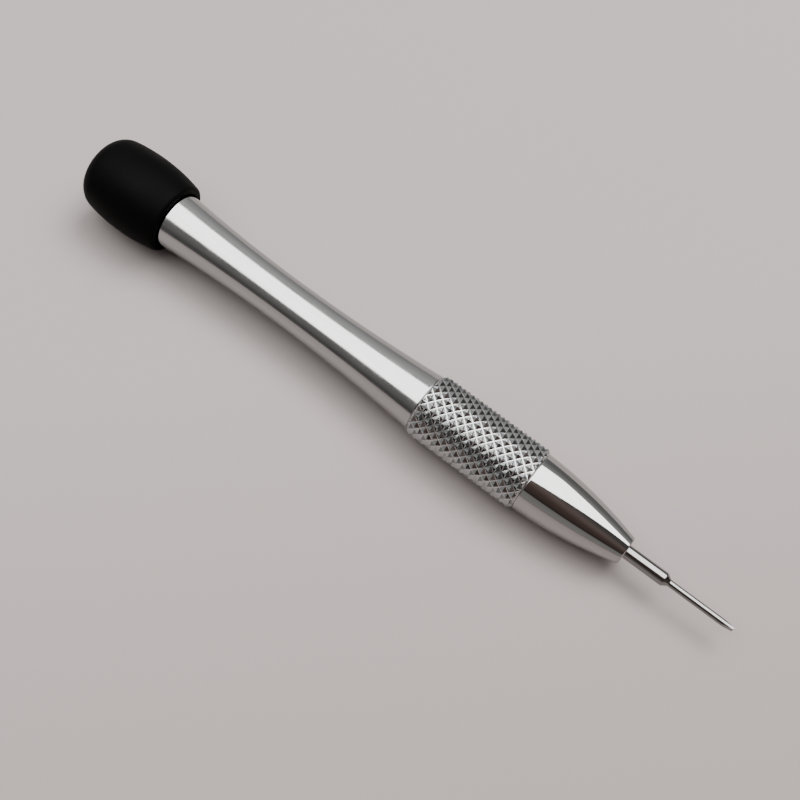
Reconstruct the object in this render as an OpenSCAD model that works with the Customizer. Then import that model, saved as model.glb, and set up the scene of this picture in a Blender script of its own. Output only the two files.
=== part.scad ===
// Watchmaker screwdriver with a swivel cap and an exchangeable flat blade.
// The tool's axis is X. The blade's tip is at the origin and points along +X.
// A station is a distance in mm from the tip, measured back along the tool's axis.
// It lies at x = -station.
// The blade's width stands along Z, and its thickness lies along Y.

/* [Blade] */
// Width of the blade, which is also the diameter of its slim front part
blade_width = 1; // [0.8:0.1:1.2]
// Thickness of the blade at its tip
tip_thickness = 0.2; // [0.15:0.01:0.3]
// Length of the ground flats at the tip
flats_length = 2; // [1:0.1:4]
// Length of the slim front part, with the flats
slim_length = 9.95; // [7:0.05:11]
// Length of the cone between the slim part and the shank
cone_length = 0.75; // [0.5:0.05:1.5]
// Diameter of the shank
shank_diameter = 2; // [1.6:0.1:2.2]
// Length of blade that stands out of the nose
blade_reach = 16.75; // [14:0.05:20]
// Length of shank that is held in the nose
shank_held = 10; // [8:0.5:11]
// Depth of the flat that the set screw bears on
shank_flat_depth = 0.25; // [0.1:0.05:0.4]

/* [Nose] */
// Length of the polished nose
nose_length = 15.45; // [14:0.05:18]
// Diameter of the nose at its front face
nose_front_diameter = 4.14; // [3.8:0.02:4.6]
// Diameter of the nose at the grip
nose_rear_diameter = 8.84; // [8.4:0.02:9]
// Radius of the nose's curved flank
nose_flank_radius = 62; // [40:1:100]
// Bevel round the nose's front face
nose_bevel = 0.15; // [0.1:0.01:0.25]
// Diameter of the set screw
set_screw_diameter = 1.6; // [1.2:0.1:2]
// Length of the set screw
set_screw_length = 2; // [1.6:0.1:2.2]
// Station of the set screw
set_screw_station = 22; // [21:0.5:24]

/* [Grip] */
// Length of the knurled sleeve
grip_length = 17.8; // [14:0.1:24]
// Diameter over the knurl's points
grip_diameter = 9.63; // [9.2:0.01:10.4]
// Length of the sleeve's bevel at the nose
grip_front_bevel = 0.55; // [0.3:0.05:0.8]
// Length of the sleeve's bevel at the handle
grip_rear_bevel = 0.35; // [0.2:0.05:0.8]
// Diameter of the stud that clamps nose, sleeve and handle together
stud_diameter = 5; // [4:0.5:5]

/* [Handle] */
// Diameter of the handle at the grip
handle_front_diameter = 8.68; // [8.4:0.02:8.8]
// Diameter of the handle at its waist
waist_diameter = 6.66; // [6.4:0.02:7.4]
// Station of the waist
waist_station = 74; // [70:0.5:78]
// Diameter of the handle at the cap's mouth
handle_rear_diameter = 8.49; // [8.1:0.01:8.6]
// Visible length of the handle, from the grip to the cap
handle_length = 44.6; // [40:0.1:50]

/* [Cap] */
// Length of the cap
cap_length = 13.9; // [13.5:0.1:16]
// Largest diameter of the cap
cap_diameter = 12.3; // [12:0.1:14]
// Distance from the cap's front face back to its largest diameter
cap_belly = 6.7; // [5.5:0.1:8]
// Radius of the cap's barrel-shaped side, seen from the side
cap_side_radius = 28; // [22:1:60]
// Radius of the edge round the cap's mouth
cap_front_edge = 0.6; // [0.3:0.1:1]
// Radius of the cap's rear shoulder
cap_shoulder_radius = 3.2; // [2.4:0.1:3.6]
// How far the rear face cuts off the shoulder's curve
cap_rear_trim = 0.3; // [0.1:0.05:0.6]

/* [Bearing] */
// Bore of the ball bearing
bearing_bore = 3; // [2:0.5:3]
// Outer diameter of the ball bearing
bearing_diameter = 8; // [7.6:0.1:8]
// Width of the ball bearing
bearing_width = 3; // [2.5:0.5:3]
// Diameter of a ball
ball_diameter = 1.48; // [1.2:0.02:1.5]
// Number of balls
ball_count = 7; // [6:1:8]

/* [Hidden] */

$fn = 96;
arc_steps = 20;
// Radial gap between pieces that are pressed or screwed together
fit_gap = 0.02;
// Radial gap between pieces that run or slide in each other
run_gap = 0.05;
// How far a cutting shape stands past the face that it cuts
over = 1;

// Stations of the joints between the pieces, from the tip to the cap's rear face
nose_front = blade_reach;
grip_front = nose_front + nose_length;
handle_front = grip_front + grip_length;
cap_front = handle_front + handle_length;
cap_rear = cap_front + cap_length;
cap_belly_station = cap_front + cap_belly;

// The blade
slim_radius = blade_width / 2;
shank_radius = shank_diameter / 2;
shank_front = slim_length + cone_length;
shank_rear = nose_front + shank_held;
shank_end_bevel = 0.15;
shank_flat_front = set_screw_station - set_screw_diameter;
shank_flat_height = shank_radius - shank_flat_depth;

// The set screw, whose length runs out from the shank's flat
set_screw_radius = set_screw_diameter / 2 - run_gap;
set_screw_start = shank_flat_height + fit_gap;
set_screw_slot_width = 0.3;
set_screw_slot_depth = 0.5;

// The stud, whose front end is the stop that the blade's shank meets
stud_radius = stud_diameter / 2;
stud_front = shank_rear + run_gap;
stud_grip = 8;
stud_rear = handle_front + stud_grip;
stud_bevel = 0.4;
tap_run_out = 1;

// The grip
grip_radius = grip_diameter / 2;
grip_end_radius = nose_rear_diameter / 2;

// The handle's end: it stops just short of the cap's mouth, and a neck goes on into the cap
mouth_gap = 0.15;
handle_end_edge = 0.15;
handle_neck_length = 1.55;
handle_neck_diameter = 7.8;
handle_flare_end = cap_front - mouth_gap;
handle_rear = handle_flare_end + handle_neck_length;
cap_mouth_gap = 0.12;
cap_mouth_radius = handle_rear_diameter / 2 + cap_mouth_gap;

// The bearing and the pieces that hold it
spacer_length = 1;
bearing_front = handle_rear + spacer_length;
bearing_rear = bearing_front + bearing_width;
bearing_middle = (bearing_front + bearing_rear) / 2;
bearing_radius = bearing_diameter / 2;
bore_radius = bearing_bore / 2;
ball_radius = ball_diameter / 2;
ball_pitch_radius = (bore_radius + bearing_radius) / 2;
race_radius = ball_radius + run_gap;
race_land = 0.6;
inner_ring_radius = ball_pitch_radius - race_land;
outer_ring_bore = ball_pitch_radius + race_land;
shield_seat_radius = outer_ring_bore + 0.1;
shield_seat_depth = 0.25;
shield_thickness = 0.15;
shield_inset = shield_seat_depth - shield_thickness;
shield_bore = inner_ring_radius + 2 * run_gap;
cage_width = 2;
cage_wall = 0.35;
race_edge = 0.15;

snap_ring_thickness = 0.5;
snap_ring_height = 0.35;
snap_ring_bore = 3.3;
snap_ring_gap = 2.4;
snap_lip = 0.3;
snap_front = bearing_front - snap_ring_thickness;
seat_front = snap_front - snap_lip;

washer_thickness = 0.5;
washer_diameter = 4.4;
washer_split = 0.3;
head_diameter = 4.8;
head_length = 1.8;
head_edge = 0.4;
head_socket_width = 2;
head_socket_depth = 1;
head_front = bearing_rear + washer_thickness;
head_rear = head_front + head_length;
pivot_grip = 8;
pivot_front = handle_rear - pivot_grip;

// The plug that closes the screw's access bore
access_radius = 2.9;
plug_radius = 3.3;
plug_rim = 1.2;
plug_stem = 1.3;
plug_dish_depth = 0.3;
plug_dish_radius = 2.8;

aluminium = "#c9cacd";
polished = "#d5d5d8";
steel = "#a9abb0";
blackened = "#4b4c50";
black_plastic = "#17171a";
brass = "#c8a04c";

// Points on a circle about a centre, from one angle to another
function arc_about(centre, radius, from, to) =
    [for (i = [0 : arc_steps]) let (a = from + (to - from) * i / arc_steps)
        centre + radius * [cos(a), sin(a)]];

// The angle's equal between -180 and 180 degrees
function short_angle(a) = a - 360 * round(a / 360);

function angle_of(v) = atan2(v[1], v[0]);

// Points on the short arc between p and q. Its centre is on p's left, seen towards q, where side is 1.
function arc_between(p, q, radius, side) =
    let (chord = q - p,
         half = norm(chord) / 2,
         rise = sqrt(radius * radius - half * half),
         centre = (p + q) / 2 + side * rise * [-chord[1], chord[0]] / norm(chord),
         from = angle_of(p - centre))
    arc_about(centre, radius, from, from + short_angle(angle_of(q - centre) - from));

// Radius of an arc that leaves level ground and gains rise over run
function flare_radius(run, rise) = (run * run + rise * rise) / (2 * rise);

// A turned solid: outline is a list of [station, radius] from its front end to its rear end
module turned(outline) {
    front = outline[0][0];
    rear = outline[len(outline) - 1][0];
    rotate([0, -90, 0])
        rotate_extrude()
            polygon([[0, front], for (p = outline) [p[1], p[0]], [0, rear]]);
}

// A cylinder on the tool's axis between two stations
module rod(front, rear, radius) {
    translate([-rear, 0, 0]) rotate([0, 90, 0]) cylinder(r = radius, h = rear - front);
}

module ring(front, rear, bore, radius) {
    difference() {
        rod(front, rear, radius);
        rod(front - over, rear + over, bore);
    }
}

// A bar across the tool's axis, centred on it in Y, that cuts a gap or a slot towards +Z
module slot_cutter(front, rear, width, bottom, top) {
    translate([-rear, -width / 2, bottom]) cube([rear - front, width, top - bottom]);
}

module tip_grind() {
    linear_extrude(blade_width + 2 * over, center = true)
        polygon([[over, tip_thickness / 2], [0, tip_thickness / 2], [-flats_length, slim_radius],
                 [-flats_length, blade_width], [over, blade_width]]);
}

module blade() color(steel) {
    difference() {
        turned([[0, slim_radius], [slim_length, slim_radius], [shank_front, shank_radius],
                [shank_rear - shank_end_bevel, shank_radius],
                [shank_rear, shank_radius - shank_end_bevel]]);
        tip_grind();
        mirror([0, 1, 0]) tip_grind();
        mirror([0, 0, 1])
            slot_cutter(shank_flat_front, shank_rear + over, shank_diameter + over,
                        shank_flat_height, shank_diameter);
    }
}

// Places its children at the set screw, with their +Z pointing out of the nose
module at_set_screw() {
    translate([-set_screw_station, 0, 0]) rotate([180, 0, 0]) children();
}

module blade_screw() color(blackened) {
    at_set_screw() difference() {
        translate([0, 0, set_screw_start]) cylinder(r = set_screw_radius, h = set_screw_length);
        translate([-set_screw_slot_width / 2, -set_screw_diameter,
                   set_screw_start + set_screw_length - set_screw_slot_depth])
            cube([set_screw_slot_width, 2 * set_screw_diameter, set_screw_slot_depth + over]);
    }
}

module nose() color(polished) {
    face_radius = nose_front_diameter / 2 - nose_bevel;
    flank_front = [nose_front + nose_bevel, nose_front_diameter / 2];
    flank_rear = [grip_front, nose_rear_diameter / 2];
    difference() {
        turned(concat([[nose_front, face_radius]],
                      arc_between(flank_front, flank_rear, nose_flank_radius, -1)));
        rod(nose_front - over, stud_front + over, shank_radius + run_gap);
        rod(stud_front - tap_run_out, grip_front + over, stud_radius + fit_gap);
        at_set_screw() cylinder(d = set_screw_diameter, h = nose_rear_diameter);
    }
}

module grip_sleeve() color(aluminium) {
    difference() {
        turned([[grip_front, grip_end_radius], [grip_front + grip_front_bevel, grip_radius],
                [handle_front - grip_rear_bevel, grip_radius], [handle_front, grip_end_radius]]);
        rod(grip_front - over, handle_front + over, stud_radius + fit_gap);
    }
}

module joining_stud() color(steel) {
    turned([[stud_front, stud_radius - stud_bevel], [stud_front + stud_bevel, stud_radius],
            [stud_rear - stud_bevel, stud_radius], [stud_rear, stud_radius - stud_bevel]]);
}

module handle() color(aluminium) {
    front = [handle_front, handle_front_diameter / 2];
    waist = [waist_station, waist_diameter / 2];
    rear = [handle_flare_end - handle_end_edge, handle_rear_diameter / 2];
    front_flare = flare_radius(waist[0] - front[0], front[1] - waist[1]);
    rear_flare = flare_radius(rear[0] - waist[0], rear[1] - waist[1]);
    difference() {
        turned(concat(arc_between(front, waist, front_flare, 1),
                      arc_between(waist, rear, rear_flare, 1),
                      [[handle_flare_end, handle_rear_diameter / 2 - handle_end_edge],
                       [handle_flare_end, handle_neck_diameter / 2],
                       [handle_rear, handle_neck_diameter / 2]]));
        rod(handle_front - over, stud_rear + tap_run_out, stud_radius + fit_gap);
        rod(pivot_front - tap_run_out, handle_rear + over, bore_radius + fit_gap);
    }
}

// The cap's outside: a barrel-shaped side between a small front edge and a large rear shoulder
module cap_outside() {
    side_centre = [cap_belly_station, cap_diameter / 2 - cap_side_radius];
    edge_station = cap_front + cap_front_edge;
    shoulder_station = cap_rear + cap_rear_trim - cap_shoulder_radius;
    edge_centre = [edge_station, inside_side(edge_station, cap_front_edge)];
    shoulder_centre = [shoulder_station, inside_side(shoulder_station, cap_shoulder_radius)];
    edge_angle = angle_of(edge_centre - side_centre);
    shoulder_angle = angle_of(shoulder_centre - side_centre);
    rear_angle = acos((cap_rear - shoulder_station) / cap_shoulder_radius);
    turned(concat(arc_about(edge_centre, cap_front_edge, 180, edge_angle),
                  arc_about(side_centre, cap_side_radius, edge_angle, shoulder_angle),
                  arc_about(shoulder_centre, cap_shoulder_radius, shoulder_angle, rear_angle)));
}

// Radius at which a circle touches the cap's barrel-shaped side from within
function inside_side(station, radius) =
    cap_diameter / 2 - cap_side_radius
    + sqrt(pow(cap_side_radius - radius, 2) - pow(station - cap_belly_station, 2));

module cap_shell() color(black_plastic) {
    difference() {
        cap_outside();
        rod(cap_front - over, seat_front, cap_mouth_radius);
        rod(cap_front, bearing_rear, bearing_radius + fit_gap);
        rod(snap_front, bearing_front, bearing_radius + snap_ring_height + fit_gap);
        rod(cap_front, cap_rear + over, access_radius + fit_gap);
        rod(cap_rear - plug_rim, cap_rear + over, plug_radius + fit_gap);
    }
}

module cap_end_plug() color(black_plastic) {
    dish_sphere = flare_radius(plug_dish_radius, plug_dish_depth);
    difference() {
        union() {
            rod(cap_rear - plug_rim, cap_rear, plug_radius);
            rod(cap_rear - plug_rim - plug_stem, cap_rear - plug_rim, access_radius);
        }
        translate([-cap_rear + plug_dish_depth - dish_sphere, 0, 0]) sphere(r = dish_sphere);
    }
}

module cap_retaining_ring() color(steel) {
    difference() {
        ring(snap_front, bearing_front, snap_ring_bore, bearing_radius + snap_ring_height);
        slot_cutter(snap_front - over, bearing_front + over, snap_ring_gap, 0, bearing_diameter);
    }
}

module raceway() {
    translate([-bearing_middle, 0, 0]) rotate([0, 90, 0])
        rotate_extrude() translate([ball_pitch_radius, 0]) circle(r = race_radius);
}

// Places its children on the bearing's pitch circle, once for each ball
module at_balls() {
    for (i = [0 : ball_count - 1])
        rotate([i * 360 / ball_count, 0, 0])
            translate([-bearing_middle, 0, ball_pitch_radius]) children();
}

module bearing_outer_ring() color(steel) {
    difference() {
        ring(bearing_front, bearing_rear, outer_ring_bore, bearing_radius);
        raceway();
        rod(bearing_front - over, bearing_front + shield_seat_depth, shield_seat_radius);
        rod(bearing_rear - shield_seat_depth, bearing_rear + over, shield_seat_radius);
    }
}

module bearing_inner_ring() color(steel) {
    difference() {
        ring(bearing_front, bearing_rear, bore_radius + fit_gap, inner_ring_radius);
        raceway();
    }
}

module bearing_cage() color(brass) {
    difference() {
        ring(bearing_middle - cage_width / 2, bearing_middle + cage_width / 2,
             ball_pitch_radius - cage_wall, ball_pitch_radius + cage_wall);
        at_balls() sphere(r = race_radius);
    }
}

module bearing_balls() color(polished) {
    at_balls() sphere(r = ball_radius);
}

module shield(front) {
    ring(front, front + shield_thickness, shield_bore, shield_seat_radius - fit_gap);
}

module bearing_shield_front() color(steel) shield(bearing_front + shield_inset);

module bearing_shield_rear() color(steel) shield(bearing_rear - shield_seat_depth);

module bearing_spacer() color(brass) {
    ring(handle_rear, bearing_front, bore_radius + fit_gap, inner_ring_radius - race_edge);
}

module spring_washer() color(blackened) {
    difference() {
        ring(bearing_rear, head_front, bore_radius + fit_gap, washer_diameter / 2);
        slot_cutter(bearing_rear - over, head_front + over, washer_split, 0, washer_diameter);
    }
}

module pivot_screw() color(blackened) {
    difference() {
        turned([[pivot_front, bore_radius - head_edge], [pivot_front + head_edge, bore_radius],
                [head_front, bore_radius], [head_front, head_diameter / 2],
                [head_rear - head_edge, head_diameter / 2],
                [head_rear, head_diameter / 2 - head_edge]]);
        translate([-head_rear - over, 0, 0]) rotate([0, 90, 0])
            cylinder(d = head_socket_width / cos(30), h = head_socket_depth + over, $fn = 6);
    }
}

blade();
blade_screw();
nose();
grip_sleeve();
joining_stud();
handle();
cap_shell();
cap_end_plug();
cap_retaining_ring();
bearing_outer_ring();
bearing_inner_ring();
bearing_cage();
bearing_balls();
bearing_shield_front();
bearing_shield_rear();
bearing_spacer();
spring_washer();
pivot_screw();
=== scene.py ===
import math

import bmesh
import bpy
from mathutils import Matrix, Vector


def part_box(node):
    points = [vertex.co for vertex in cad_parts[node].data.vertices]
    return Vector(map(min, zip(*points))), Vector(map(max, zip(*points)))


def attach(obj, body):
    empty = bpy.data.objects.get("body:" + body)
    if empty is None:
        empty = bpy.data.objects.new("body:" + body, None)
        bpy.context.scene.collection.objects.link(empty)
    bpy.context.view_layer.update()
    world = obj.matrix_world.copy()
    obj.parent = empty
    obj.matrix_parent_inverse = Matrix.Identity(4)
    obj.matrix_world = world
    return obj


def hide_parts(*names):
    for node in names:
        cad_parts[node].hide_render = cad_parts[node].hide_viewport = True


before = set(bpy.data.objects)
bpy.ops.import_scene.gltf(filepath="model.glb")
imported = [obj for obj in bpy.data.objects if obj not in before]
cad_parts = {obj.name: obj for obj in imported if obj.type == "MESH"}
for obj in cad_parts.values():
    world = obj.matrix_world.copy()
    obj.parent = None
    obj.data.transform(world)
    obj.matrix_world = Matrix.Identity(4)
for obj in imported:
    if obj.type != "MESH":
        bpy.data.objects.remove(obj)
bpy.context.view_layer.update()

MM = 0.001
AXIS = Vector((1, 0, 0))
ROUND_STEPS = 256       # facets round a large turned piece
SLIM_STEPS = 128        # facets round the slim blade
HIDDEN_STEPS = 96       # facets round a small piece or a drilled hole
ON_AXIS = 1e-6          # a radius below this, in mm, is a point on the axis
LARGEST_SHARE = 0.49    # the most of an outline's side that one rounded corner may take


# ---------------------------------------------------------------------------
# Where the CAD pieces are. A station is a distance in mm from the blade's tip,
# measured back along the tool's axis, so it lies at x = -station.
# ---------------------------------------------------------------------------

def stations(node):
    """Front and rear station of a CAD node, in mm."""
    low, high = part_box(node)
    return -high[0] / MM, -low[0] / MM


def reach(node):
    """Largest distance of a CAD node from the tool's axis along Y, in mm."""
    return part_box(node)[1][1] / MM


NOSE_FRONT, NOSE_REAR = stations("nose")
GRIP_FRONT, GRIP_REAR = stations("grip_sleeve")
HANDLE_FRONT, HANDLE_REAR = stations("handle")
CAP_FRONT, CAP_REAR = stations("cap_shell")
BLADE_REAR = stations("blade")[1]
STUD_FRONT, STUD_REAR = stations("joining_stud")
SCREW_FRONT = stations("pivot_screw")[0]
BEARING_FRONT, BEARING_REAR = stations("bearing_outer_ring")
RING_FRONT = stations("cap_retaining_ring")[0]
SET_SCREW_STATION = sum(stations("blade_screw")) / 2

GRIP_RADIUS = reach("grip_sleeve")
NOSE_RADIUS = reach("nose")
CAP_RADIUS = reach("cap_shell")
SHANK_RADIUS = reach("blade")
STUD_RADIUS = reach("joining_stud")
BEARING_RADIUS = reach("bearing_outer_ring")
PLUG_RADIUS = reach("cap_end_plug")

FIT_GAP = 0.02          # radial gap between pieces that are pressed or screwed together
RUN_GAP = 0.05          # radial gap between pieces that slide in each other
TAP_RUN_OUT = 1         # how far a tapped hole goes on past its screw
OVER = 1                # how far a cutting shape stands past the face that it cuts


# ---------------------------------------------------------------------------
# Outlines: lists of (station, radius) in mm
# ---------------------------------------------------------------------------

def arc_about(centre, radius, start, end, steps):
    """Points on a circle about a centre between two angles in radians."""
    points = []
    for i in range(steps + 1):
        a = start + (end - start) * i / steps
        points.append((centre[0] + radius * math.cos(a), centre[1] + radius * math.sin(a)))
    return points


def arc_between(p, q, radius, side, steps):
    """Points on the short arc from p to q. Seen towards q, its centre is on the left where side is 1."""
    p, q = Vector(p), Vector(q)
    chord = q - p
    rise = math.sqrt(radius ** 2 - chord.length_squared / 4)
    centre = (p + q) / 2 + side * rise * Vector((-chord.y, chord.x)) / chord.length
    start = math.atan2(p.y - centre.y, p.x - centre.x)
    end = math.atan2(q.y - centre.y, q.x - centre.x)
    turn = math.remainder(end - start, 2 * math.pi)
    return arc_about(centre, radius, start, start + turn, steps)


def flare_radius(run, rise):
    """Radius of an arc that leaves level ground and gains rise over run."""
    return (run ** 2 + rise ** 2) / (2 * rise)


def rounded(corners, closed=True, steps=5):
    """An outline with rounded corners, given as (station, radius, fillet). A fillet of 0 stays sharp."""
    points = []
    count = len(corners)
    for i, (s, r, fillet) in enumerate(corners):
        here = Vector((s, r))
        if fillet == 0 or (not closed and i in (0, count - 1)):
            points.append((s, r))
            continue
        before = Vector(corners[i - 1][:2]) - here
        after = Vector(corners[(i + 1) % count][:2]) - here
        half_angle = before.angle(after) / 2
        room = min(before.length, after.length) * LARGEST_SHARE
        back = min(fillet / math.tan(half_angle), room)
        radius = back * math.tan(half_angle)
        inwards = (before.normalized() + after.normalized()).normalized()
        middle = here + inwards * radius / math.sin(half_angle)
        start = here + before.normalized() * back - middle
        end = here + after.normalized() * back - middle
        a = math.atan2(start.y, start.x)
        turn = math.remainder(math.atan2(end.y, end.x) - a, 2 * math.pi)
        points += arc_about(middle, radius, a, a + turn, steps)
    return points


# ---------------------------------------------------------------------------
# Meshes
# ---------------------------------------------------------------------------

def on_axis(station, radius, angle):
    """The point at a station, a distance from the tool's axis, and an angle round it from +Z towards +Y."""
    return Vector((-station, radius * math.sin(angle), radius * math.cos(angle))) * MM


def new_object(name, bm):
    """Turns a bmesh into an object with outward faces."""
    bmesh.ops.recalc_face_normals(bm, faces=bm.faces)
    mesh = bpy.data.meshes.new(name)
    bm.to_mesh(mesh)
    bm.free()
    obj = bpy.data.objects.new(name, mesh)
    bpy.context.scene.collection.objects.link(obj)
    return obj


def lathe(name, outline, steps=ROUND_STEPS):
    """A turned piece. A closed outline clears the axis; an open one starts and ends on it, at radius 0."""
    bm = bmesh.new()
    rings = []
    for station, radius in outline:
        count = 1 if radius < ON_AXIS else steps
        turns = [2 * math.pi * i / steps for i in range(count)]
        rings.append([bm.verts.new(on_axis(station, radius, turn)) for turn in turns])
    open_ended = len(rings[0]) == 1
    pairs = zip(rings, rings[1:] if open_ended else rings[1:] + rings[:1])
    for a, b in pairs:
        for i in range(steps):
            j = (i + 1) % steps
            corners = [a[i % len(a)], a[j % len(a)], b[j % len(b)], b[i % len(b)]]
            bm.faces.new(list(dict.fromkeys(corners)))
    return new_object(name, bm)


def block(name, low, high):
    """A box between two corners in mm, used to cut other pieces."""
    bm = bmesh.new()
    bmesh.ops.create_cube(bm, size=1)
    for v in bm.verts:
        v.co = Vector([(low[k] if v.co[k] < 0 else high[k]) * MM for k in range(3)])
    return new_object(name, bm)


def carve(obj, cutter):
    """Cuts one object out of another and deletes the cutter."""
    modifier = obj.modifiers.new("cut", "BOOLEAN")
    modifier.operation = "DIFFERENCE"
    modifier.solver = "EXACT"
    modifier.object = cutter
    apply_modifiers(obj)
    bpy.data.objects.remove(cutter)


def cut_by_plane(bm, point, outward, tolerance, drop_outside=False):
    """Splits a mesh along a plane, and returns the edges on it. What lies outside it can be dropped."""
    parts = bmesh.ops.bisect_plane(bm, geom=[*bm.verts, *bm.edges, *bm.faces], dist=tolerance * MM,
                                   plane_co=point, plane_no=outward, clear_outer=drop_outside)["geom_cut"]
    return [part for part in parts if isinstance(part, bmesh.types.BMEdge)]


def apply_modifiers(obj):
    """Makes an object's modifiers part of its mesh."""
    evaluated = obj.evaluated_get(bpy.context.evaluated_depsgraph_get())
    mesh = bpy.data.meshes.new_from_object(evaluated)
    obj.modifiers.clear()
    obj.data = mesh


def along_z(obj, station):
    """Turns a piece made along the tool's axis to point down -Z from the axis at a station."""
    obj.data.transform(Matrix.Translation((-station * MM, 0, 0)) @ Matrix.Rotation(-math.pi / 2, 4, "Y"))


def finish_piece(obj, material, body, nodes, crease=32):
    """Smooths a piece, gives it its material, ties it to its CAD body and hides the CAD nodes that it
    replaces.

    Edges stay sharp where their faces meet at more than crease degrees.
    """
    obj.data.shade_smooth()
    obj.data.set_sharp_from_angle(angle=math.radians(crease))
    obj.data.materials.clear()
    obj.data.materials.append(material)
    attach(obj, body)
    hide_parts(*nodes)


# ---------------------------------------------------------------------------
# Materials
# ---------------------------------------------------------------------------

class NodeTree:
    """The node tree of a material or of the world, with short calls for the nodes used here."""

    def __init__(self, owner):
        owner.use_nodes = True
        self.nodes = owner.node_tree.nodes
        self.links = owner.node_tree.links

    def add(self, kind, **settings):
        """Adds a node with its settings, such as operation="LENGTH"."""
        node = self.nodes.new(kind)
        for key, value in settings.items():
            setattr(node, key, value)
        return node

    def along(self, direction, coordinates="Object"):
        """How far a point, in metres, or one of the world's directions lies along a direction."""
        node = self.add("ShaderNodeVectorMath", operation="DOT_PRODUCT")
        node.inputs[1].default_value = direction
        self.links.new(self.add("ShaderNodeTexCoord").outputs[coordinates], node.inputs[0])
        return node.outputs["Value"]

    def blend_colours(self, factor, first, second):
        """Blends two colours, each of them an RGB triple or another node's colour."""
        node = self.add("ShaderNodeMix", data_type="RGBA")
        self.links.new(factor, node.inputs["Factor"])
        for name, colour in (("A", first), ("B", second)):
            if isinstance(colour, tuple):
                node.inputs[name].default_value = (*colour, 1)
            else:
                self.links.new(colour, node.inputs[name])
        return node.outputs["Result"]


class Shader(NodeTree):
    """A material's node tree, with calls for its surface."""

    def __init__(self, name):
        self.material = bpy.data.materials.new(name)
        super().__init__(self.material)
        self.surface = self.nodes["Principled BSDF"]

    def set(self, **values):
        """Sets the surface's own sockets: Base_Color=(...), Roughness=0.2 and so on."""
        for key, value in values.items():
            self.surface.inputs[key.replace("_", " ")].default_value = value

    def place(self, stretch):
        """Object coordinates, scaled by stretch along X, Y and Z."""
        mapping = self.add("ShaderNodeMapping")
        mapping.inputs["Scale"].default_value = stretch
        self.links.new(self.add("ShaderNodeTexCoord").outputs["Object"], mapping.inputs["Vector"])
        return mapping.outputs["Vector"]

    def from_axis(self):
        """Distance from the tool's axis, in metres."""
        node = self.add("ShaderNodeVectorMath", operation="LENGTH")
        self.links.new(self.place((0, 1, 1)), node.inputs[0])
        return node.outputs["Value"]

    def noise(self, stretch, detail, roughness=0.5):
        """Noise with about one cell per unit of the stretched coordinates."""
        node = self.add("ShaderNodeTexNoise")
        node.inputs["Scale"].default_value = 1.0
        node.inputs["Detail"].default_value = detail
        node.inputs["Roughness"].default_value = roughness
        self.links.new(self.place(stretch), node.inputs["Vector"])
        return node.outputs["Fac"]

    def spread(self, value, low, high, low_in=0.3, high_in=0.7):
        """Spreads a value that runs from low_in to high_in over low to high."""
        node = self.add("ShaderNodeMapRange")
        node.inputs["From Min"].default_value = low_in
        node.inputs["From Max"].default_value = high_in
        node.inputs["To Min"].default_value = low
        node.inputs["To Max"].default_value = high
        self.links.new(value, node.inputs["Value"])
        return node.outputs["Result"]

    def bump(self, height, depth_mm):
        """Raises the surface by height times depth_mm."""
        node = self.add("ShaderNodeBump")
        node.inputs["Distance"].default_value = depth_mm * MM
        self.links.new(height, node.inputs["Height"])
        return node.outputs["Normal"]

    def feed(self, socket, value):
        """Links a node's output to one of the surface's sockets."""
        self.links.new(value, self.surface.inputs[socket])

    def turned_tangent(self):
        """Grain that runs round the tool's axis."""
        node = self.add("ShaderNodeTangent", direction_type="RADIAL", axis="X")
        self.links.new(node.outputs["Tangent"], self.surface.inputs["Tangent"])


def per_mm(along, across=None):
    """Noise cells per mm along the tool's axis and across it, as a scale for coordinates in metres."""
    across = along if across is None else across
    return (along / MM, across / MM, across / MM)


def satin_aluminium():
    """Bright aluminium, finely turned: rings round the axis, faint smudges and streaks along it."""
    s = Shader("satin_aluminium")
    s.set(Metallic=1.0, Anisotropic=0.6)
    rings = s.noise(per_mm(9, 0.02), detail=4, roughness=0.6)
    smudges = s.noise(per_mm(0.35, 0.6), detail=3)
    streaks = s.noise(per_mm(0.04, 2.2), detail=5, roughness=0.6)
    s.feed("Base Color", s.blend_colours(streaks, (0.31, 0.311, 0.311), (0.42, 0.421, 0.421)))
    s.feed("Roughness", s.spread(smudges, low=0.10, high=0.15))
    s.feed("Normal", s.bump(rings, depth_mm=0.0006))
    s.turned_tangent()
    return s.material


def polished_metal(name):
    """Mirror-polished metal with faint turning rings and hairline scratches."""
    s = Shader(name)
    s.set(Metallic=1.0)
    rings = s.noise(per_mm(4, 0.05), detail=3)
    haze = s.noise(per_mm(0.5), detail=3)
    streaks = s.noise(per_mm(0.08, 3), detail=5, roughness=0.65)
    s.feed("Base Color", s.blend_colours(streaks, (0.33, 0.33, 0.328), (0.42, 0.419, 0.416)))
    s.feed("Roughness", s.spread(haze, low=0.035, high=0.075))
    s.feed("Normal", s.bump(rings, depth_mm=0.0003))
    return s.material


GROOVE_HIGHLIGHT_HEIGHT = 0.08     # height over the knurl's root at which the groove floor's painted highlight has faded out


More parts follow.
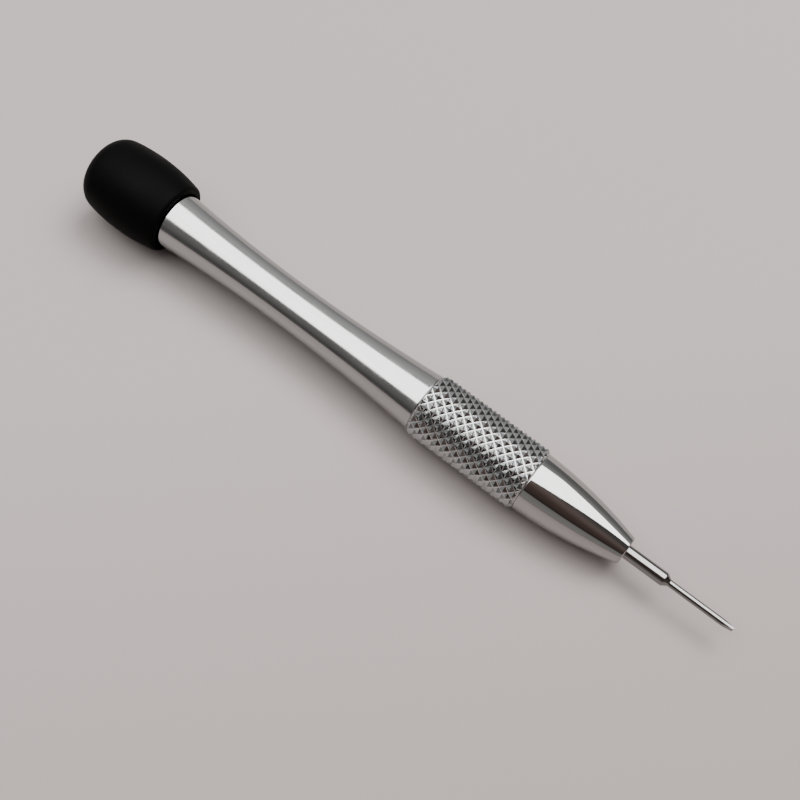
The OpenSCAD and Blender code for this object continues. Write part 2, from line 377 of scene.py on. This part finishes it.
def knurled_metal():
    """Rolled knurl with painted light: the groove floors are painted bright as a highlight, and the flanks
    darker as shade.
    """
    s = Shader("knurled_metal")
    s.set(Metallic=1.0)
    grain = s.noise(per_mm(12), detail=3)
    patches = s.noise(per_mm(0.8), detail=2)
    root = GRIP_RADIUS - KNURL_DEPTH
    # Painted light: by distance from the axis, the groove floors get a bright painted highlight and the
    # flanks a darker painted shade.
    flank_shade_mask = s.spread(s.from_axis(), low=0, high=1,
                     low_in=root * MM, high_in=(root + GROOVE_HIGHLIGHT_HEIGHT) * MM)
    # The flanks' darker colour is painted shade, varied by random patches.
    shaded_flank_colour = s.blend_colours(patches, (0.29, 0.298, 0.3), (0.36, 0.37, 0.373))
    s.feed("Base Color", s.blend_colours(flank_shade_mask, (0.45, 0.452, 0.452), shaded_flank_colour))
    s.feed("Roughness", s.spread(flank_shade_mask, low=0.22, high=0.1, low_in=0, high_in=1))
    s.feed("Normal", s.bump(grain, depth_mm=0.0015))
    return s.material


def ground_steel(name, dark, light, roughness, ring_depth_mm):
    """Ground steel with fine rings round the tool's axis, and a roughness between two values."""
    s = Shader(name)
    s.set(Metallic=1.0, Anisotropic=0.4)
    rings = s.noise(per_mm(14, 0.3), detail=4)
    stains = s.noise(per_mm(0.9), detail=3)
    s.feed("Base Color", s.blend_colours(stains, dark, light))
    s.feed("Roughness", s.spread(rings, *roughness))
    s.feed("Normal", s.bump(rings, ring_depth_mm))
    s.turned_tangent()
    return s.material


WORN_BRIGHTNESS = 1.5       # worn plastic's colour as a multiple of the fresh colour


def moulded_plastic(name, colour, roughness, grain_mm, grain_depth_mm):
    """Moulded black plastic: fine grain, and a slightly uneven roughness between two values."""
    s = Shader(name)
    s.set(Specular_IOR_Level=0.022)
    grain = s.noise(per_mm(1 / grain_mm), detail=4, roughness=0.6)
    wear = s.noise(per_mm(0.25), detail=4)
    worn = tuple(WORN_BRIGHTNESS * c for c in colour)
    s.feed("Base Color", s.blend_colours(wear, colour, worn))
    s.feed("Roughness", s.spread(wear, *roughness))
    s.feed("Normal", s.bump(grain, grain_depth_mm))
    return s.material


def brass():
    """Bright turned brass with a little tarnish."""
    s = Shader("cage_brass")
    s.set(Metallic=1.0)
    tarnish = s.noise(per_mm(1.5), detail=4)
    s.feed("Base Color", s.blend_colours(tarnish, (0.62, 0.43, 0.16), (0.83, 0.63, 0.30)))
    s.feed("Roughness", s.spread(tarnish, low=0.18, high=0.34))
    return s.material


# ---------------------------------------------------------------------------
# The pieces. All lengths are in mm.
# ---------------------------------------------------------------------------

EDGE = 0.06             # edge break on turned pieces
JOINT_EDGE = 0.14       # larger edge break where two pieces meet in a fine groove

NOSE_FACE_RADIUS = 2.07
NOSE_FLANK_RADIUS = 62
NOSE_BEVEL = 0.15
NOSE_FACE_ROUND = 0.1
SET_SCREW_HOLE = 0.8    # radius


def make_nose(material):
    """The bullet-shaped nose with the blade's bore, the stud's tapped hole and the set screw's hole."""
    bore = SHANK_RADIUS + RUN_GAP
    tapped = STUD_RADIUS + FIT_GAP
    step = STUD_FRONT - TAP_RUN_OUT
    flank_shade_mask = arc_between((NOSE_FRONT + NOSE_BEVEL, NOSE_FACE_RADIUS), (NOSE_REAR, NOSE_RADIUS),
                        NOSE_FLANK_RADIUS, side=-1, steps=96)
    corners = [(NOSE_FRONT, bore, EDGE / 2),
               (NOSE_FRONT, NOSE_FACE_RADIUS - NOSE_BEVEL, NOSE_FACE_ROUND)]
    corners += [(s, r, NOSE_FACE_ROUND if i == 0 else 0) for i, (s, r) in enumerate(flank_shade_mask[:-1])]
    corners += [(*flank_shade_mask[-1], JOINT_EDGE), (NOSE_REAR, tapped, EDGE), (step, tapped, 0), (step, bore, 0)]
    nose = lathe("nose_polished", rounded(corners))
    drill_outline = [(0, 0), (0, SET_SCREW_HOLE), (NOSE_RADIUS, SET_SCREW_HOLE), (NOSE_RADIUS, 0)]
    drill = lathe("drill", drill_outline, HIDDEN_STEPS)
    along_z(drill, SET_SCREW_STATION)
    carve(nose, drill)
    finish_piece(nose, material, "handle", ["nose"])


WAIST_STATION = 74
WAIST_RADIUS = 3.33
HANDLE_FRONT_RADIUS = 4.34
HANDLE_REAR_RADIUS = 4.245
MOUTH_GAP = 0.15        # from the flare's rear face to the cap
FLARE_END = CAP_FRONT - MOUTH_GAP
FLARE_ROUND = 0.15
NECK_RADIUS = 3.9
PIVOT_HOLE_RADIUS = 1.52


def make_handle(material):
    """The waisted handle, flared at both ends, with a blind tapped hole at each end."""
    front = (HANDLE_FRONT, HANDLE_FRONT_RADIUS)
    waist = (WAIST_STATION, WAIST_RADIUS)
    rear = (FLARE_END, HANDLE_REAR_RADIUS)
    front_flare = flare_radius(waist[0] - front[0], front[1] - waist[1])
    rear_flare = flare_radius(rear[0] - waist[0], rear[1] - waist[1])
    side = arc_between(front, waist, front_flare, side=1, steps=120)
    side += arc_between(waist, rear, rear_flare, side=1, steps=120)[1:]
    tapped = STUD_RADIUS + FIT_GAP
    front_hole_end = STUD_REAR + TAP_RUN_OUT
    rear_hole_end = SCREW_FRONT - TAP_RUN_OUT
    corners = [(front_hole_end, 0, 0), (front_hole_end, tapped, 0), (HANDLE_FRONT, tapped, EDGE),
               (*side[0], JOINT_EDGE)]
    corners += [(s, r, 0) for s, r in side[1:] if s < FLARE_END - FLARE_ROUND]
    corners += [(*rear, FLARE_ROUND), (FLARE_END, NECK_RADIUS, 0), (HANDLE_REAR, NECK_RADIUS, EDGE),
                (HANDLE_REAR, PIVOT_HOLE_RADIUS, EDGE), (rear_hole_end, PIVOT_HOLE_RADIUS, 0),
                (rear_hole_end, 0, 0)]
    handle = lathe("handle_turned", rounded(corners, closed=False))
    finish_piece(handle, material, "handle", ["handle"])


KNURL_STARTS = (20, 17)         # grooves of each hand round the sleeve
KNURL_PITCHES = (1.63, 1.315)   # distance between grooves of each hand along the axis
KNURL_SHIFT = (0.47, -0.17)     # how far the grooves of each hand are turned on, in grooves
KNURL_DEPTH = 0.4
KNURL_MARGIN = 2                # how far past the sleeve's ends diamonds are made before it is cut
GROOVE_FLOOR = 0.045            # half a groove floor's width, as a share of the grooves' distance
POINT_EDGE = 0.46               # where a flank meets the point's flat top, on the same scale
SLEEVE_END_RADIUS = 4.42
FRONT_BEVEL = 0.55
REAR_BEVEL = 0.35
BEVEL_RINGS = 6                 # rings of edges that let the diamonds follow a bevel
WELD = 0.002                    # corners of neighbouring diamonds closer than this are joined
SLEEVE_CUT_TOLERANCE = 0.0002   # corners closer to a cutting plane than this are taken to be on it


def knurl_place(a, b):
    """Where groove a of one hand meets groove b of the other: a share of a turn, and a station."""
    (starts_a, starts_b), (pitch_a, pitch_b) = KNURL_STARTS, KNURL_PITCHES
    a, b = a + KNURL_SHIFT[0], b + KNURL_SHIFT[1]
    lead = starts_a * pitch_a + starts_b * pitch_b
    turn = (a * pitch_a + b * pitch_b) / lead
    station = GRIP_FRONT + pitch_a * pitch_b * (starts_a * b - starts_b * a) / lead
    return turn, station


def knurl_height(a, b):
    """Height over the knurl's root at a place in a diamond. Both a and b run from groove to groove."""
    to_groove = min(a, 1 - a, b, 1 - b)
    up_flank = (to_groove - GROOVE_FLOOR) / (POINT_EDGE - GROOVE_FLOOR)
    return KNURL_DEPTH * min(max(up_flank, 0), 1)


def knurl_limit(station):
    """Largest radius that the sleeve's bevelled ends leave at a station."""
    rise = GRIP_RADIUS - SLEEVE_END_RADIUS
    limit = GRIP_RADIUS
    for inwards, bevel in ((station - GRIP_FRONT, FRONT_BEVEL), (GRIP_REAR - station, REAR_BEVEL)):
        on_bevel = SLEEVE_END_RADIUS + rise * inwards / bevel
        on_edge_break = SLEEVE_END_RADIUS - JOINT_EDGE + inwards
        limit = min(limit, on_bevel, on_edge_break)
    return limit


def add_diamond(bm, row, column):
    """One raised diamond. Its four corner faces are split along the ridges that rise to its flat top."""
    marks = [0, GROOVE_FLOOR, POINT_EDGE, 1 - POINT_EDGE, 1 - GROOVE_FLOOR, 1]
    grid = []
    for a in marks:
        line = []
        for b in marks:
            turn, station = knurl_place(row + a, column + b)
            radius = GRIP_RADIUS - KNURL_DEPTH + knurl_height(a, b)
            line.append(bm.verts.new(on_axis(station, radius, 2 * math.pi * turn)))
        grid.append(line)
    last = len(marks) - 1
    for i in range(last):
        for j in range(last):
            p, q, r, s = grid[i][j], grid[i + 1][j], grid[i + 1][j + 1], grid[i][j + 1]
            if {i, j} <= {1, 3}:
                halves = ([p, q, r], [p, r, s]) if i == j else ([p, q, s], [q, r, s])
                for corners in halves:
                    bm.faces.new(corners)
            else:
                bm.faces.new([p, q, r, s])


def make_grip(material):
    """The knurled sleeve: a lattice of diamonds round a tube, with bevelled ends."""
    bm = bmesh.new()
    most = sum(KNURL_STARTS)
    for row in range(-most, 2 * most):
        for column in range(-most, 2 * most):
            turn, station = knurl_place(row + 0.5, column + 0.5)
            if 0 <= turn < 1 and GRIP_FRONT - KNURL_MARGIN < station < GRIP_REAR + KNURL_MARGIN:
                add_diamond(bm, row, column)
    bmesh.ops.remove_doubles(bm, verts=bm.verts, dist=WELD * MM)
    for station, outward in ((GRIP_FRONT, AXIS), (GRIP_REAR, -AXIS)):
        cut_by_plane(bm, on_axis(station, 0, 0), outward, SLEEVE_CUT_TOLERANCE, drop_outside=True)
    for i in range(1, BEVEL_RINGS + 1):
        share = i / BEVEL_RINGS
        for station in (GRIP_FRONT + FRONT_BEVEL * share, GRIP_REAR - REAR_BEVEL * share):
            cut_by_plane(bm, on_axis(station, 0, 0), AXIS, SLEEVE_CUT_TOLERANCE)
    for v in bm.verts:
        radius = math.hypot(v.co.y, v.co.z)
        scale = min(1, knurl_limit(-v.co.x / MM) * MM / radius)
        v.co.y *= scale
        v.co.z *= scale
    for station in (GRIP_FRONT, GRIP_REAR):
        rim = [e for e in bm.edges if e.is_boundary and abs(e.verts[0].co.x + station * MM) < WELD * MM]
        centre = bm.verts.new(on_axis(station, 0, 0))
        for e in rim:
            bm.faces.new([*e.verts, centre])
    sleeve = new_object("grip_sleeve_knurled", bm)
    bore = STUD_RADIUS + FIT_GAP
    start, end = GRIP_FRONT - OVER, GRIP_REAR + OVER
    carve(sleeve, lathe("reamer", [(start, 0), (start, bore), (end, bore), (end, 0)], HIDDEN_STEPS))
    finish_piece(sleeve, material, "handle", ["grip_sleeve"], crease=25)


SLIM_RADIUS = 0.5
SLIM_LENGTH = 9.95
CONE_LENGTH = 0.75
FLATS_LENGTH = 2
TIP_THICKNESS = 0.2
TIP_ROUND = 0.03
CONE_FRONT_ROUND = 0.3
CONE_REAR_ROUND = 0.35
SHANK_END_ROUND = 0.15
SHANK_FLAT_HEIGHT = 0.75        # distance of the shank's flat from the axis
SHANK_FLAT_REACH = 1.6          # how far the flat goes on in front of the set screw's middle
BLADE_CUT_TOLERANCE = 0.00001


def make_blade(material):
    """The blade: slim round front part ground to a wedge, cone, and shank with a flat for the set screw."""
    corners = [(0, 0, 0), (0, SLIM_RADIUS, TIP_ROUND), (SLIM_LENGTH, SLIM_RADIUS, CONE_FRONT_ROUND),
               (SLIM_LENGTH + CONE_LENGTH, SHANK_RADIUS, CONE_REAR_ROUND),
               (BLADE_REAR, SHANK_RADIUS, SHANK_END_ROUND), (BLADE_REAR, 0, 0)]
    blade = lathe("blade_ground", rounded(corners, closed=False, steps=8), SLIM_STEPS)
    bm = bmesh.new()
    bm.from_mesh(blade.data)
    for side in (-1, 1):
        tip = Vector((0, side * TIP_THICKNESS / 2, 0)) * MM
        outward = Vector((SLIM_RADIUS - TIP_THICKNESS / 2, side * FLATS_LENGTH, 0)).normalized()
        rim = cut_by_plane(bm, tip, outward, BLADE_CUT_TOLERANCE, drop_outside=True)
        bmesh.ops.contextual_create(bm, geom=rim)
    bmesh.ops.recalc_face_normals(bm, faces=bm.faces)
    bm.to_mesh(blade.data)
    bm.free()
    past_shank = SHANK_RADIUS + OVER
    flat_front = SET_SCREW_STATION - SHANK_FLAT_REACH
    carve(blade, block("shank_flat", (-BLADE_REAR - OVER, -past_shank, -past_shank),
                       (-flat_front, past_shank, -SHANK_FLAT_HEIGHT)))
    finish_piece(blade, material, "blade", ["blade"], crease=15)


SLOT_WIDTH = 0.3
SLOT_DEPTH = 0.5
SCREW_POINT_ROUND = 0.15
SCREW_HEAD_ROUND = 0.08


def make_set_screw(material):
    """The slotted set screw, in the nose's underside."""
    low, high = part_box("blade_screw")
    start, end = -high[2] / MM, -low[2] / MM
    radius = high[1] / MM
    corners = [(start, 0, 0), (start, radius, SCREW_POINT_ROUND), (end, radius, SCREW_HEAD_ROUND),
               (end, 0, 0)]
    screw = lathe("blade_screw_slotted", rounded(corners, closed=False), HIDDEN_STEPS)
    along_z(screw, SET_SCREW_STATION)
    carve(screw, block("slot", (-SET_SCREW_STATION - SLOT_WIDTH / 2, -OVER, -end - OVER),
                       (-SET_SCREW_STATION + SLOT_WIDTH / 2, OVER, -end + SLOT_DEPTH)))
    finish_piece(screw, material, "set_screw", ["blade_screw"])


CAP_BELLY = CAP_FRONT + 6.7
CAP_SIDE_RADIUS = 28
CAP_EDGE = 0.6
CAP_SHOULDER = 3.2
CAP_TRIM = 0.3          # how much of the shoulder's round end is cut off by the flat rear face
CAP_MOUTH_RADIUS = 4.365
CAP_MOUTH_ROUND = 0.15
REAR_FACE_ROUND = 0.12
RING_GROOVE_DEPTH = 0.37
RING_LIP = 0.3          # wall between the snap ring and the mouth
ACCESS_RADIUS = 2.92
PLUG_RIM = 1.2
PLUG_STEM = 1.3
PLUG_DISH_RADIUS = 2.8
PLUG_DISH_DEPTH = 0.3
PLUG_STEM_ROUND = 0.2
PLUG_RIM_ROUND = 0.1
PLUG_DISH_ROUND = 0.2


def inside_side(station, radius):
    """Radius at which a circle touches the cap's barrel-shaped side from within."""
    along = station - CAP_BELLY
    return CAP_RADIUS - CAP_SIDE_RADIUS + math.sqrt((CAP_SIDE_RADIUS - radius) ** 2 - along ** 2)


def make_cap(material):
    """The cap's shell, with its mouth, snap-ring groove, bearing seat and plug seat."""
    side_centre = Vector((CAP_BELLY, CAP_RADIUS - CAP_SIDE_RADIUS))
    edge_station = CAP_FRONT + CAP_EDGE
    shoulder_station = CAP_REAR + CAP_TRIM - CAP_SHOULDER
    edge = Vector((edge_station, inside_side(edge_station, CAP_EDGE)))
    shoulder = Vector((shoulder_station, inside_side(shoulder_station, CAP_SHOULDER)))
    edge_angle = math.atan2(*(edge - side_centre).yx)
    shoulder_angle = math.atan2(*(shoulder - side_centre).yx)
    rear_angle = math.acos((CAP_REAR - shoulder_station) / CAP_SHOULDER)
    outside = arc_about(edge, CAP_EDGE, math.pi, edge_angle, steps=12)
    outside += arc_about(side_centre, CAP_SIDE_RADIUS, edge_angle, shoulder_angle, steps=80)[1:]
    outside += arc_about(shoulder, CAP_SHOULDER, shoulder_angle, rear_angle, steps=40)[1:]
    seat = BEARING_RADIUS + FIT_GAP
    groove = BEARING_RADIUS + RING_GROOVE_DEPTH
    lip = RING_FRONT - RING_LIP
    corners = [(s, r, 0) for s, r in outside[:-1]] + [(*outside[-1], REAR_FACE_ROUND)]
    corners += [(CAP_REAR, PLUG_RADIUS + FIT_GAP, EDGE), (CAP_REAR - PLUG_RIM, PLUG_RADIUS + FIT_GAP, 0),
                (CAP_REAR - PLUG_RIM, ACCESS_RADIUS, EDGE), (BEARING_REAR, ACCESS_RADIUS, EDGE),
                (BEARING_REAR, seat, 0), (BEARING_FRONT, seat, 0), (BEARING_FRONT, groove, 0),
                (RING_FRONT, groove, 0), (RING_FRONT, seat, 0), (lip, seat, EDGE),
                (lip, CAP_MOUTH_RADIUS, 0), (CAP_FRONT, CAP_MOUTH_RADIUS, CAP_MOUTH_ROUND)]
    shell = lathe("cap_shell_moulded", rounded(corners))
    finish_piece(shell, material, "cap", ["cap_shell"])


def make_plug(material):
    """The dished plug in the cap's rear face."""
    dish = flare_radius(PLUG_DISH_RADIUS, PLUG_DISH_DEPTH)
    floor = CAP_REAR - PLUG_DISH_DEPTH
    half_angle = math.asin(PLUG_DISH_RADIUS / dish)
    hollow = arc_about((floor + dish, 0), dish, math.pi - half_angle, math.pi, steps=24)
    rim_front = CAP_REAR - PLUG_RIM
    stem_end = rim_front - PLUG_STEM
    stem_radius = ACCESS_RADIUS - FIT_GAP
    corners = [(stem_end, 0, 0), (stem_end, stem_radius, PLUG_STEM_ROUND), (rim_front, stem_radius, 0),
               (rim_front, PLUG_RADIUS, PLUG_RIM_ROUND), (CAP_REAR, PLUG_RADIUS, REAR_FACE_ROUND)]
    corners += [(*hollow[0], PLUG_DISH_ROUND)] + [(s, max(r, 0), 0) for s, r in hollow[1:]]
    plug = lathe("cap_end_plug_dished", rounded(corners, closed=False))
    finish_piece(plug, material, "cap", ["cap_end_plug"])


# ---------------------------------------------------------------------------
# Floor, lights, room and camera. Sizes and places are in metres, and stations in mm.
# ---------------------------------------------------------------------------

GRIP_CREST_FRONT = GRIP_FRONT + FRONT_BEVEL
FLOOR_SLOPE = (CAP_RADIUS - GRIP_RADIUS) / (CAP_BELLY - GRIP_CREST_FRONT)
FLOOR_SIZE = 6.0
FLOOR_SHADE_DIRECTION = (0.75, -0.66, 0)           # the direction in which painted shade darkens the floor
FLOOR_SHADE_RANGE = (-0.05, 0.07)        # where along it the painted shade starts and ends, in metres
# the floor's lit colour, then its colour under painted shade
FLOOR_LIT_AND_SHADED_PAINT = ((0.221, 0.201, 0.196), (0.164, 0.133, 0.129))


def make_floor():
    """A pale matt floor that touches the cap's belly and the sleeve's front edge, darkened towards one side
    by painted shade.
    """
    bm = bmesh.new()
    bmesh.ops.create_grid(bm, x_segments=8, y_segments=8, size=FLOOR_SIZE / 2)
    floor = new_object("floor", bm)
    contact = Vector((-CAP_BELLY * MM, 0, -CAP_RADIUS * MM))
    slope = Matrix.Rotation(-math.atan(FLOOR_SLOPE), 4, "Y")
    floor.data.transform(Matrix.Translation(contact) @ slope)
    s = Shader("floor_paint")
    s.set(Roughness=0.75, Specular_IOR_Level=0.25)
    start, end = FLOOR_SHADE_RANGE
    # Painted shade: the floor is painted darker towards one side.
    fade = s.spread(s.along(FLOOR_SHADE_DIRECTION), low=0, high=1, low_in=start, high_in=end)
    s.feed("Base Color", s.blend_colours(fade, *FLOOR_LIT_AND_SHADED_PAINT))
    s.feed("Normal", s.bump(s.noise(per_mm(0.35), detail=4), depth_mm=0.02))
    floor.data.materials.append(s.material)


LIGHT_COLOUR = (1.0, 0.985, 0.975)
LIGHT_HEIGHT = 1.2
LIGHT_PANEL = (2.46, 1.13)
LIGHT_CENTRE = Vector((-0.183, 0.186, 1.0)) * LIGHT_HEIGHT
LIGHT_TURN = math.radians(50)
LIGHT_POWER = 58
REAR_PANEL = (0.7, 0.7)
REAR_CENTRE = Vector((0.05, 0.55, 1.0)) * LIGHT_HEIGHT
REAR_POWER = 30


def add_panel(name, centre, size, power, in_reflections):
    """A soft panel that faces straight down and is unseen by the camera."""
    data = bpy.data.lights.new(name, "AREA")
    data.shape = "RECTANGLE"
    data.size, data.size_y = size
    data.energy = power
    data.color = LIGHT_COLOUR
    panel = bpy.data.objects.new(name, data)
    panel.visible_camera = False
    panel.visible_glossy = in_reflections
    panel.matrix_world = Matrix.Translation(centre) @ Matrix.Rotation(LIGHT_TURN, 4, "Z")
    bpy.context.scene.collection.objects.link(panel)


def make_lights():
    """A large soft panel over the tool, and a smaller one behind it that deepens the shadow in front."""
    add_panel("ceiling_panel", LIGHT_CENTRE, LIGHT_PANEL, LIGHT_POWER, in_reflections=True)
    add_panel("rear_panel", REAR_CENTRE, REAR_PANEL, REAR_POWER, in_reflections=False)


ROOM_DARK_SIDE = (0.77, -0.64, 0.0)     # the horizontal direction of the room's darker side
ROOM_REACH = 4.0                        # the lean, run over rise, that counts as 1
BACKDROP_COLOUR = (0.55, 0.54, 0.53)
BLACK = (0, 0, 0)
WHITE = (1, 1, 1)

# How the room's parts fade into each other: stops of the values that make_room gives to ramp
TOWARDS_CAP_FADE = [(0.04, BLACK), (0.2, WHITE)]
DARK_SIDE_FADE = [(0.03, BLACK), (0.05, WHITE)]

# Colours of the open side, from level (0) to straight up (1), as the handle and the nose reflect it
OPEN_BY_HANDLE = [(0.0, (0.45, 0.446, 0.44)), (0.2, (0.49, 0.486, 0.48)), (0.6, (0.82, 0.815, 0.81))]
OPEN_BY_NOSE = [(0.3, (0.25, 0.247, 0.243)), (0.5, (0.4, 0.396, 0.39)), (0.7, (0.68, 0.675, 0.67))]

# Colours of the dark side, from overhead (0) out towards the viewer (1)
DARK_BY_HANDLE = [(0.25, (0.28, 0.275, 0.27)), (0.42, (0.24, 0.235, 0.23)),
                  (0.72, (0.19, 0.186, 0.18)), (1.0, (0.13, 0.127, 0.123))]
DARK_BY_NOSE = [(0.0, (0.11, 0.104, 0.1)), (0.1, (0.24, 0.183, 0.165)), (0.22, (0.13, 0.087, 0.074)),
                (0.42, (0.075, 0.056, 0.05)), (0.52, (0.05, 0.044, 0.041)), (0.55, (0.31, 0.295, 0.28)),
                (1.0, (0.38, 0.365, 0.35))]


def make_room():
    """A grey room, darker on one side, which shows only in the tool's reflections."""
    world = bpy.data.worlds.new("room")
    t = NodeTree(world)
    up = t.along((0, 0, 1), "Generated")

    def slope(vector):
        """Lean of a direction from upright towards a horizontal vector, as a share of ROOM_REACH."""
        node = t.add("ShaderNodeMath", operation="DIVIDE")
        t.links.new(t.along(Vector(vector) / ROOM_REACH, "Generated"), node.inputs[0])
        t.links.new(up, node.inputs[1])
        return node.outputs["Value"]

    def ramp(value, stops):
        """Colours between stops of a value, each given as (position, colour)."""
        node = t.add("ShaderNodeValToRGB")
        t.links.new(value, node.inputs["Fac"])
        band = node.color_ramp
        for element, (position, colour) in zip(band.elements, (stops[0], stops[-1])):
            element.position, element.color = position, (*colour, 1)
        for position, colour in stops[1:-1]:
            band.elements.new(position).color = (*colour, 1)
        return node.outputs["Color"]

    towards_viewer = slope((0, -1, 0))
    by_cap = ramp(t.along(-AXIS, "Generated"), TOWARDS_CAP_FADE)
    open_side = t.blend_colours(by_cap, ramp(up, OPEN_BY_NOSE), ramp(up, OPEN_BY_HANDLE))
    dark_side = t.blend_colours(by_cap, ramp(towards_viewer, DARK_BY_NOSE),
                                ramp(towards_viewer, DARK_BY_HANDLE))
    room = t.blend_colours(ramp(slope(ROOM_DARK_SIDE), DARK_SIDE_FADE), open_side, dark_side)
    seen_directly = t.add("ShaderNodeLightPath").outputs["Is Camera Ray"]
    picture = t.blend_colours(seen_directly, room, BACKDROP_COLOUR)
    t.links.new(picture, t.nodes["Background"].inputs["Color"])
    bpy.context.scene.world = world


CAMERA_DISTANCE = 0.1746                # from the tool's axis
CAMERA_FOOT = Vector((-0.02075, 0, 0))  # the point of the axis nearest the camera
CAMERA_SIDE = math.radians(24)          # the camera's turn about the axis, from above towards -Y
CAMERA_LEAN = math.radians(10.5)        # the view's lean from square on the axis, towards the cap
CAMERA_AIM = math.radians(0.546)        # how far the view passes beside the axis
CAMERA_ROLL = math.radians(36.38)       # the axis's slope across the picture
CAMERA_LENS = 58.5                      # mm
CAMERA_SENSOR = 36                      # mm, its width
CAMERA_CLIP = 0.005                     # nearest distance that is drawn


def make_camera():
    """The camera at the photograph's place, leaning along the tool and passing just beside its axis."""
    out = Vector((0, -math.sin(CAMERA_SIDE), math.cos(CAMERA_SIDE)))
    across = out.cross(AXIS)
    forward = -out * math.cos(CAMERA_LEAN) - AXIS * math.sin(CAMERA_LEAN)
    along = AXIS * math.cos(CAMERA_LEAN) - out * math.sin(CAMERA_LEAN)
    aimed = forward * math.cos(CAMERA_AIM) - across * math.sin(CAMERA_AIM)
    beside = across * math.cos(CAMERA_AIM) + forward * math.sin(CAMERA_AIM)
    right = along * math.cos(CAMERA_ROLL) + beside * math.sin(CAMERA_ROLL)
    up = beside * math.cos(CAMERA_ROLL) - along * math.sin(CAMERA_ROLL)
    data = bpy.data.cameras.new("camera")
    data.lens = CAMERA_LENS
    data.sensor_width = CAMERA_SENSOR
    data.clip_start = CAMERA_CLIP
    camera = bpy.data.objects.new("camera", data)
    turn = Matrix((right, up, -aimed)).transposed().to_4x4()
    camera.matrix_world = Matrix.Translation(CAMERA_FOOT + out * CAMERA_DISTANCE) @ turn
    bpy.context.scene.collection.objects.link(camera)
    bpy.context.scene.camera = camera


# ---------------------------------------------------------------------------
# The scene
# ---------------------------------------------------------------------------

make_camera()
make_floor()
make_lights()
make_room()

make_nose(polished_metal("polished_nose"))
make_handle(satin_aluminium())
make_grip(knurled_metal())
make_blade(ground_steel("blade_steel", dark=(0.20, 0.197, 0.194), light=(0.25, 0.247, 0.243),
                        roughness=(0.05, 0.11), ring_depth_mm=0.0003))
black_steel = ground_steel("black_steel", dark=(0.045, 0.045, 0.048), light=(0.085, 0.085, 0.09),
                           roughness=(0.3, 0.45), ring_depth_mm=0.0015)
make_set_screw(black_steel)
make_cap(moulded_plastic("black_plastic", colour=(0.001, 0.001, 0.001), roughness=(0.42, 0.55),
                         grain_mm=0.12, grain_depth_mm=0.0012))
make_plug(moulded_plastic("plug_plastic", colour=(0.002, 0.002, 0.0021), roughness=(0.55, 0.65),
                          grain_mm=0.08, grain_depth_mm=0.003))

plain_steel = ground_steel("plain_steel", dark=(0.42, 0.42, 0.43), light=(0.58, 0.58, 0.59),
                           roughness=(0.2, 0.32), ring_depth_mm=0.001)
bearing_steel = ground_steel("bearing_steel", dark=(0.52, 0.52, 0.53), light=(0.66, 0.66, 0.67),
                             roughness=(0.08, 0.16), ring_depth_mm=0.0004)
ball_steel = polished_metal("ball_steel")
cage_brass = brass()
inner_materials = {
    "joining_stud": plain_steel,
    "bearing_outer_ring": bearing_steel,
    "bearing_inner_ring": bearing_steel,
    "bearing_balls": ball_steel,
    "bearing_cage": cage_brass,
    "bearing_shield_front": plain_steel,
    "bearing_shield_rear": plain_steel,
    "bearing_spacer": cage_brass,
    "cap_retaining_ring": plain_steel,
    "spring_washer": black_steel,
    "pivot_screw": black_steel,
}
for node, material in inner_materials.items():
    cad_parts[node].material_slots[0].material = material
